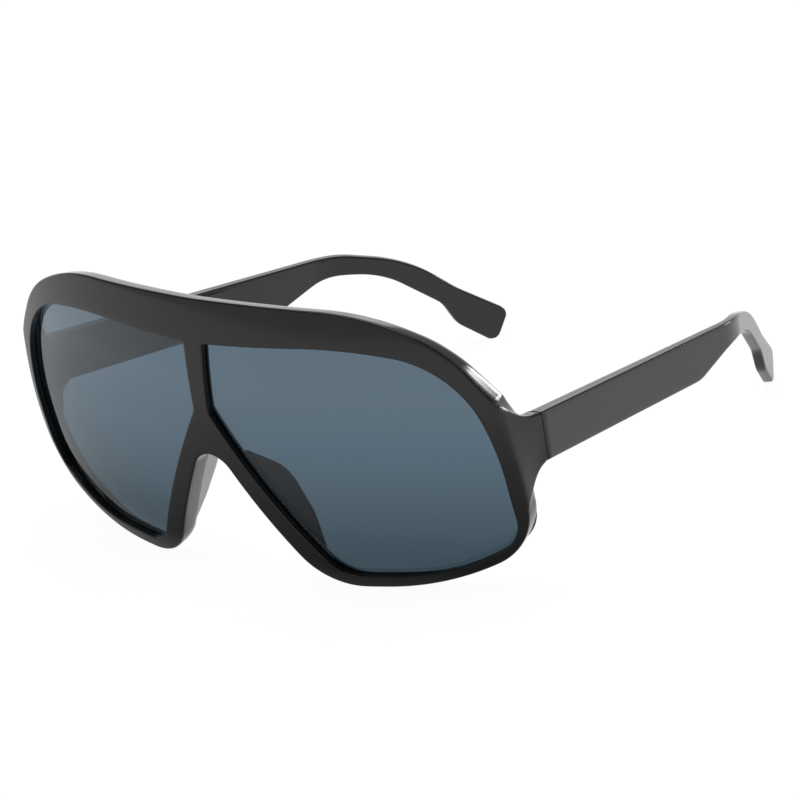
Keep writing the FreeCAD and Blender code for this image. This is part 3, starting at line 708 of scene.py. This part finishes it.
# %% Nose pads
PAD_LENGTH, PAD_DEPTH, PAD_THICK = 30.0, 9.4, 1.6
PAD_TOP_DEPTH, PAD_FOOT_DEPTH = 2.3, 7.0
PAD_SUNK = 1.0               # the crescent's outline starts this far inside the seat
PAD_SPLAY = math.radians(12)
PAD_START = 0.5              # along the rim, from its corner at the nose arch
PAD_SEAT = SHELL - 0.8       # the pad starts at this depth, inside the rim
PAD_SECTIONS = 90
TONGUE_STEPS = 7             # quads along a side of a tongue
STUMP = 0.2                  # tongues shorter than this are left out
ROUND_SHARE = 0.8            # most of a short tongue that its round end may take

pad_top, pad_foot = [np.array([x, 0, z]) for x, z in (LEG_TOP, LEG_FOOT)]
down = (pad_foot - pad_top) / np.linalg.norm(pad_foot - pad_top)
to_side = np.array([-down[2], 0, down[0]])
to_back = np.array([0, 1, 0])
backwards = to_back * math.cos(PAD_SPLAY) + to_side * math.sin(PAD_SPLAY)
sideways = to_side * math.cos(PAD_SPLAY) - to_back * math.sin(PAD_SPLAY)
seat = pad_top + down * PAD_START + to_back * SHELL
mid = sideways * PAD_THICK / 2

crescent, _ = rounded([
    (0, -PAD_SUNK, 0), (0, PAD_TOP_DEPTH, 3), (8.4, PAD_DEPTH, 10), (20, PAD_DEPTH, 12),
    (PAD_LENGTH, PAD_FOOT_DEPTH, 3), (PAD_LENGTH, -PAD_SUNK, 0),
])
tongue_end = np.linspace(-math.pi / 2, math.pi / 2, 9)
pad_rows = []
for along, reach_back in even(crescent, PAD_SECTIONS):
    root = seat + down * along
    from_centre = root - BALL_CENTRE
    sunk = from_centre @ backwards
    start = -sunk - math.sqrt(sunk ** 2 - from_centre @ from_centre + (BALL - PAD_SEAT) ** 2)
    if reach_back - start < STUMP:
        continue
    round_off = min(PAD_THICK / 2, (reach_back - start) * ROUND_SHARE)
    base = root + backwards * start
    straight = backwards * (reach_back - round_off - start)
    row = [base + straight * t for t in np.linspace(0, 1, TONGUE_STEPS + 1)[:-1]]
    for turn in tongue_end:
        row.append(base + straight + mid + backwards * round_off * math.cos(turn) + mid * math.sin(turn))
    row += [base + 2 * mid + straight * t for t in np.linspace(1, 0, TONGUE_STEPS + 1)[1:]]
    pad_rows.append(row)
pad_quads = tube(len(pad_rows), len(pad_rows[0]))
pads = pair("nose_crescent", np.vstack(pad_rows), pad_quads, "front_body", "nose_pad")

# %% [markdown]
# ## Materials
# The colours are sRGB hex values, turned to linear by one function. One small function adds a node with
# its settings and links, so that each material reads as a short list.

# %% Material helpers
def linear(hex_colour):
    channels = [int(hex_colour[i:i + 2], 16) / 255 for i in (1, 3, 5)]
    return tuple(c / 12.92 if c <= 0.04045 else ((c + 0.055) / 1.055) ** 2.4 for c in channels) + (1.0,)


def node(tree, kind, links=(), **settings):
    """Adds a node. Settings name its sockets or properties; links are (socket, from node, its socket)."""
    made = tree.nodes.new(kind)
    for name, value in settings.items():
        socket = made.inputs.get(name.replace("_", " "))
        if socket is None:
            setattr(made, name, value)
        else:
            socket.default_value = value
    for socket, source, output in links:
        tree.links.new(source.outputs[output], made.inputs[socket])
    return made


def material(name):
    made = bpy.data.materials.new(name)
    made.use_nodes = True
    tree = made.node_tree
    tree.nodes.clear()
    return made, tree


def dress(pieces, made):
    for shape in pieces:
        shape.data.materials.clear()
        shape.data.materials.append(made)
    print(made.name, "on", len(pieces), "pieces")


# %% [markdown]
# ## Black moulded plastic
# The front, temples and pads are injection-moulded nylon, polished in the mould and tumbled. The eye
# reads it as nearly black with a clear mirror of the room, brightest where it is seen edge-on. Tumbling
# leaves a very slight waviness, a few millimetres from crest to crest, and a gloss that varies a little.
# Both come from one noise, because a crest is also where the tumbling polishes most.

# %% Black plastic
WAVE_MM = 6.0
black, tree = material("polished black nylon")
place = node(tree, "ShaderNodeTexCoord")
wave = node(tree, "ShaderNodeTexNoise", [("Vector", place, "Object")], Scale=1000 / WAVE_MM, Detail=2.0)
gloss = node(tree, "ShaderNodeMapRange", [("Value", wave, "Fac")], To_Min=0.09, To_Max=0.16)
bump = node(tree, "ShaderNodeBump", [("Height", wave, "Fac")], Strength=0.03, Distance=0.0002)
shader = node(tree, "ShaderNodeBsdfPrincipled",
              [("Roughness", gloss, "Result"), ("Normal", bump, "Normal")],
              Base_Color=linear("#0b0b0a"), IOR=1.5)
node(tree, "ShaderNodeOutputMaterial", [("Surface", shader, "BSDF")])
dress([front] + temples + pads, black)

# %% [markdown]
# ## Grey lens plastic
# The lenses are polycarbonate dyed a blue grey, with a hard, clear coating that is almost but not quite
# even. Towards the bottom the tint is deepened as painted shade, for the shaded table seen through the
# lower part of each lens. A see-through mix would not bend light or mirror the room, so this is a
# transmitting shader. Its colour is what is seen through the whole lens: half of the tint is taken at each
# face.

# %% Lens plastic
# painted shade: the lower tint is the dye darkened for the shaded table seen through the bottom of each
# lens
TINT_TOP, TINT_LOW_PAINTED_SHADE = linear("#4b6170"), linear("#35454f")
TINT_HEIGHT = 0.035    # metres above the table where the tint is at its lightest
COATING_MM = 9.0
lens_plastic, tree = material("dyed polycarbonate, painted shade")
place = node(tree, "ShaderNodeTexCoord")
split = node(tree, "ShaderNodeSeparateXYZ", [("Vector", place, "Object")])
rise = node(tree, "ShaderNodeMapRange", [("Value", split, "Z")], From_Min=0.0, From_Max=TINT_HEIGHT)
# painted shade: the tint darkens from TINT_HEIGHT down to the table
tint_with_painted_shade = node(tree, "ShaderNodeMix", [(0, rise, "Result")], data_type="RGBA")
tint_with_painted_shade.inputs[6].default_value = TINT_LOW_PAINTED_SHADE
tint_with_painted_shade.inputs[7].default_value = TINT_TOP
coating = node(tree, "ShaderNodeTexNoise", [("Vector", place, "Object")],
               Scale=1000 / COATING_MM, Detail=1.0)
gloss = node(tree, "ShaderNodeMapRange", [("Value", coating, "Fac")], To_Min=0.0, To_Max=0.03)
shader = node(tree, "ShaderNodeBsdfPrincipled", [("Base Color", tint_with_painted_shade, 2), ("Roughness", gloss, "Result")],
              IOR=1.58, Transmission_Weight=1.0)
node(tree, "ShaderNodeOutputMaterial", [("Surface", shader, "BSDF")])
dress(lenses, lens_plastic)

# %% [markdown]
# ## Ground lens edge
# The edge of a lens is ground matt where it sits in the groove, so that it shows dark and no light leaks
# round it. It is the same piece, so the faces that stand across the ball get a second material.

# %% Ground edge
GRIND_MM = 0.2
STANDS_ACROSS = 0.5    # faces whose normal is further than this from the ball's radius
ground, tree = material("ground lens edge")
place = node(tree, "ShaderNodeTexCoord")
grind = node(tree, "ShaderNodeTexNoise", [("Vector", place, "Object")], Scale=1000 / GRIND_MM)
gloss = node(tree, "ShaderNodeMapRange", [("Value", grind, "Fac")], To_Min=0.6, To_Max=0.9)
shader = node(tree, "ShaderNodeBsdfPrincipled", [("Roughness", gloss, "Result")],
              Base_Color=linear("#0c1012"))
node(tree, "ShaderNodeOutputMaterial", [("Surface", shader, "BSDF")])
ball_spot = Vector(placed(BALL_CENTRE))
for lens in lenses:
    lens.data.materials.append(ground)
    for face in lens.data.polygons:
        radial = (face.center - ball_spot).normalized()
        if abs(face.normal.dot(radial)) < STANDS_ACROSS:
            face.material_index = 1
print("ground edge faces", sum(face.material_index for lens in lenses for face in lens.data.polygons))

# %% [markdown]
# ## Hinge metal
# The leaves and screws are stamped and turned steel with a black plating, which hides them against the
# plastic. Fine brushing under the plating shows as a slight change of gloss.

# %% Hinge metal
BRUSH_MM = 0.3
steel, tree = material("black plated steel")
place = node(tree, "ShaderNodeTexCoord")
brush = node(tree, "ShaderNodeTexNoise", [("Vector", place, "Object")], Scale=1000 / BRUSH_MM, Detail=1.0)
gloss = node(tree, "ShaderNodeMapRange", [("Value", brush, "Fac")], To_Min=0.25, To_Max=0.42)
shader = node(tree, "ShaderNodeBsdfPrincipled", [("Roughness", gloss, "Result")],
              Base_Color=linear("#2b2b2d"), Metallic=1.0)
node(tree, "ShaderNodeOutputMaterial", [("Surface", shader, "BSDF")])
metal = [shape for name, shape in frame["nodes"].items() if "hinge" in name or "screw" in name]
dress(metal, steel)

# %% [markdown]
# ## White table
# The glasses stand on a white table. It shows white to the camera, through the lenses and in most mirror
# rays, and keeps part of its lit paint, so that the shadow stays. The polished lower rims mirror the
# table close in front of them, which is in their own shade, so there mirror rays see the lit paint alone.
# That zone is a ring round the ball's centre, in front of the temples.

# %% Table
TABLE_X, TABLE_Y = (-1.6, 1.6), (-0.45, 2.4)
TABLE_SHOW = 0.8                # share of white where the table shows white
GLOW = 1.18                     # brings it up to white together with the lit paint
BEHIND_RIMS = (0.13, 0.115)     # metres from the ball's centre over which the shaded zone ends inwards
BEFORE_RIMS = (0.135, 0.24)     # and outwards
BEFORE_SHOW = 0.8
BESIDE_RIMS = (-0.05, 0.0)      # y over which it ends at the sides

corners = [(TABLE_X[0], TABLE_Y[0], 0), (TABLE_X[1], TABLE_Y[0], 0)]
corners += [(TABLE_X[1], TABLE_Y[1], 0), (TABLE_X[0], TABLE_Y[1], 0)]
floor_mesh = bpy.data.meshes.new("table")
floor_mesh.from_pydata(corners, [], [(0, 1, 2, 3)])
floor = bpy.data.objects.new("table", floor_mesh)
bpy.context.scene.collection.objects.link(floor)

white, tree = material("white table")
place = node(tree, "ShaderNodeTexCoord")
split = node(tree, "ShaderNodeSeparateXYZ", [("Vector", place, "Object")])
away = node(tree, "ShaderNodeVectorMath", [(0, place, "Object")], operation="DISTANCE")
away.inputs[1].default_value = placed(BALL_CENTRE) * (1, 1, 0)
behind = node(tree, "ShaderNodeMapRange", [("Value", away, "Value")],
              From_Min=BEHIND_RIMS[0], From_Max=BEHIND_RIMS[1])
before = node(tree, "ShaderNodeMapRange", [("Value", away, "Value")],
              From_Min=BEFORE_RIMS[0], From_Max=BEFORE_RIMS[1], To_Max=BEFORE_SHOW)
beside = node(tree, "ShaderNodeMapRange", [("Value", split, "Y")],
              From_Min=BESIDE_RIMS[0], From_Max=BESIDE_RIMS[1])
along = node(tree, "ShaderNodeMath", [(0, behind, "Result"), (1, before, "Result")], operation="MAXIMUM")
bright = node(tree, "ShaderNodeMath", [(0, along, "Value"), (1, beside, "Result")], operation="MAXIMUM")

path = node(tree, "ShaderNodeLightPath")
in_mirror = node(tree, "ShaderNodeMath", [(0, path, "Is Glossy Ray"), (1, bright, "Value")],
                 operation="MULTIPLY")
direct = node(tree, "ShaderNodeMath", [(0, path, "Is Camera Ray"), (1, path, "Is Transmission Ray")],
              operation="MAXIMUM")
seen = node(tree, "ShaderNodeMath", [(0, direct, "Value"), (1, in_mirror, "Value")], operation="MAXIMUM")
show = node(tree, "ShaderNodeMath", [(0, seen, "Value")], operation="MULTIPLY")
show.inputs[1].default_value = TABLE_SHOW
paint = node(tree, "ShaderNodeBsdfDiffuse", Color=linear("#c4c4c4"))
glow = node(tree, "ShaderNodeEmission", Color=linear("#ffffff"), Strength=GLOW)
mixed = node(tree, "ShaderNodeMixShader", [(0, show, "Value"), (1, paint, "BSDF"), (2, glow, "Emission")])
node(tree, "ShaderNodeOutputMaterial", [("Surface", mixed, "Shader")])
floor_mesh.materials.append(white)
print("table", TABLE_X[1] - TABLE_X[0], "by", TABLE_Y[1] - TABLE_Y[0], "m")

# %% [markdown]
# ## White room
# Black plastic shows only what it mirrors, so the room is the main light: white behind the glasses,
# dimmer in front of them and dimmer again overhead. To the camera it is plain white.

# %% Room
ROOM_FRONT, ROOM_BACK = 0.62, 1.08
ROOM_TURN = (-0.2, 0.25)   # share of a direction that points back, from front level to back level
ROOM_RISE = (0.12, 0.32)   # and that points up, from low to high
OVERHEAD = 0.4             # share of the level that is left high up

room = bpy.data.worlds.new("white room")
bpy.context.scene.world = room
room.use_nodes = True
tree = room.node_tree
tree.nodes.clear()
place = node(tree, "ShaderNodeTexCoord")
split = node(tree, "ShaderNodeSeparateXYZ", [("Vector", place, "Generated")])
level = node(tree, "ShaderNodeMapRange", [("Value", split, "Y")],
             From_Min=ROOM_TURN[0], From_Max=ROOM_TURN[1], To_Min=ROOM_FRONT, To_Max=ROOM_BACK)
high = node(tree, "ShaderNodeMapRange", [("Value", split, "Z")],
            From_Min=ROOM_RISE[0], From_Max=ROOM_RISE[1], To_Min=1.0, To_Max=OVERHEAD)
dimmed = node(tree, "ShaderNodeMath", [(0, level, "Result"), (1, high, "Result")], operation="MULTIPLY")
path = node(tree, "ShaderNodeLightPath")
strength = node(tree, "ShaderNodeMix", [(0, path, "Is Camera Ray"), (2, dimmed, "Value")],
                data_type="FLOAT")
strength.inputs[3].default_value = 1.0
sky = node(tree, "ShaderNodeBackground", [("Strength", strength, 0)], Color=linear("#ffffff"))
node(tree, "ShaderNodeOutputWorld", [("Surface", sky, "Background")])
print("room level", ROOM_FRONT, "in front,", ROOM_BACK, "behind")

# %% [markdown]
# ## Soft boxes
# A large box overhead gives the soft shadow. Two smaller ones stand behind the glasses: the polished brow
# and the edges mirror them as bright streaks.

# %% Lamps
boxes = [   # name, place and size in metres, power in watts
    ("overhead box", (-0.1, -0.1, 1.2), (0.9, 0.9), 5.0),
    ("right box", (0.2, 0.93, 0.28), (0.18, 0.12), 0.9),
    ("left box", (-0.62, 0.72, 0.36), (0.5, 0.22), 0.35),
]
for name, place_m, size_m, watts in boxes:
    lamp_data = bpy.data.lights.new(name, "AREA")
    lamp_data.shape = "RECTANGLE"
    lamp_data.size, lamp_data.size_y = size_m
    lamp_data.energy = watts
    lamp = bpy.data.objects.new(name, lamp_data)
    lamp.location = place_m
    lamp.rotation_euler = (-Vector(place_m)).to_track_quat("-Z", "Y").to_euler()
    bpy.context.scene.collection.objects.link(lamp)
print("soft boxes", len(boxes))

# %% [markdown]
# ## Camera
# A long lens from the wearer's left and above, rolled a little. Its place is given in the upright
# drawing.

# %% Camera
CAMERA_MM = (834.12, -877.63, 494.17)
LOOK_AT_MM = (23.05, 40.0, -10.53)
ROLL = math.radians(-9.061)
LENS_MM, SENSOR_MM = 267.88, 36
FAR_M = 20
camera_spot, look_spot = [Vector(point) for point in placed([CAMERA_MM, LOOK_AT_MM])]
look = (look_spot - camera_spot).normalized()
right = look.cross(Vector(TURN @ np.array([0, 0, 1]))).normalized()
up = right.cross(look)
rolled_right = right * math.cos(ROLL) + up * math.sin(ROLL)
rolled_up = up * math.cos(ROLL) - right * math.sin(ROLL)
axes = Matrix((rolled_right, rolled_up, -look)).transposed().to_4x4()

camera_data = bpy.data.cameras.new("camera")
camera_data.lens = LENS_MM
camera_data.sensor_width = SENSOR_MM
camera_data.clip_end = FAR_M
camera = bpy.data.objects.new("camera", camera_data)
camera.matrix_world = Matrix.Translation(camera_spot) @ axes
bpy.context.scene.collection.objects.link(camera)
bpy.context.scene.camera = camera
bpy.context.scene.view_settings.view_transform = "Standard"
print("camera", round((look_spot - camera_spot).length, 3), "m away")

# %% [markdown]
# ## Update
# The scene is brought up to date. The visual model has to stay inside the CAD model's box.

# %% Update
bpy.context.view_layer.update()
